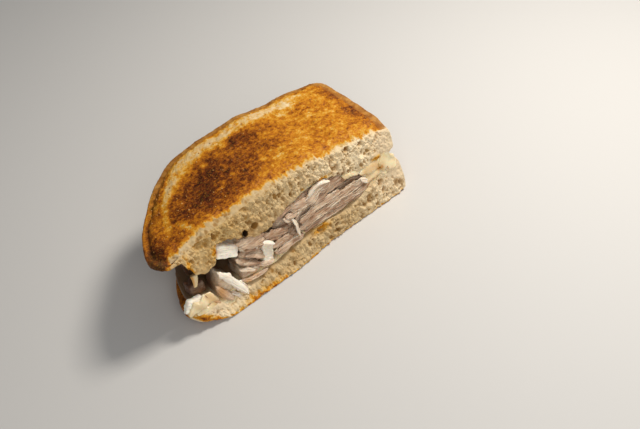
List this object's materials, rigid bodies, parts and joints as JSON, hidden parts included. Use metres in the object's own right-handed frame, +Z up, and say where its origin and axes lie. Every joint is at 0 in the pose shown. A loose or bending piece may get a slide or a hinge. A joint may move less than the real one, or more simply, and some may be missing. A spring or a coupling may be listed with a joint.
{
  "type": "turkey melt sandwich half",
  "caption": "Half of a grilled sandwich of sliced turkey and melted cheese between toasted country bread, lying flat with its cut face open.",
  "frame": {"origin": "middle of the bounding box on the plane that the lower slice rests on", "axes": "+X along the cut from the domed top of the loaf to its flat base, +Y from the cut face to the side crust, +Z up"},
  "size_m": [0.1444, 0.0726, 0.0464],
  "materials": {
    "bread": "toasted bread, matt crumb with a browned, faintly buttery face",
    "turkey": "moist roast turkey, fibrous",
    "cheese": "melted pale cheese, softly glossy"
  },
  "bodies": {
    "root": {"bread_top": "bread", "bread_bottom": "bread", "cheese_upper": "cheese", "cheese_lower": "cheese", "cheese_drip": "cheese", "turkey_slice_1": "turkey", "turkey_slice_2": "turkey", "turkey_slice_3": "turkey", "turkey_slice_4": "turkey", "turkey_slice_5": "turkey", "turkey_fold_1": "turkey", "turkey_fold_2": "turkey", "turkey_chunk_1": "turkey", "turkey_chunk_2": "turkey", "turkey_chunk_3": "turkey", "turkey_chunk_4": "turkey", "turkey_chunk_5": "turkey", "turkey_chunk_6": "turkey", "turkey_chunk_7": "turkey", "turkey_chunk_8": "turkey"}
  },
  "joints": []
}
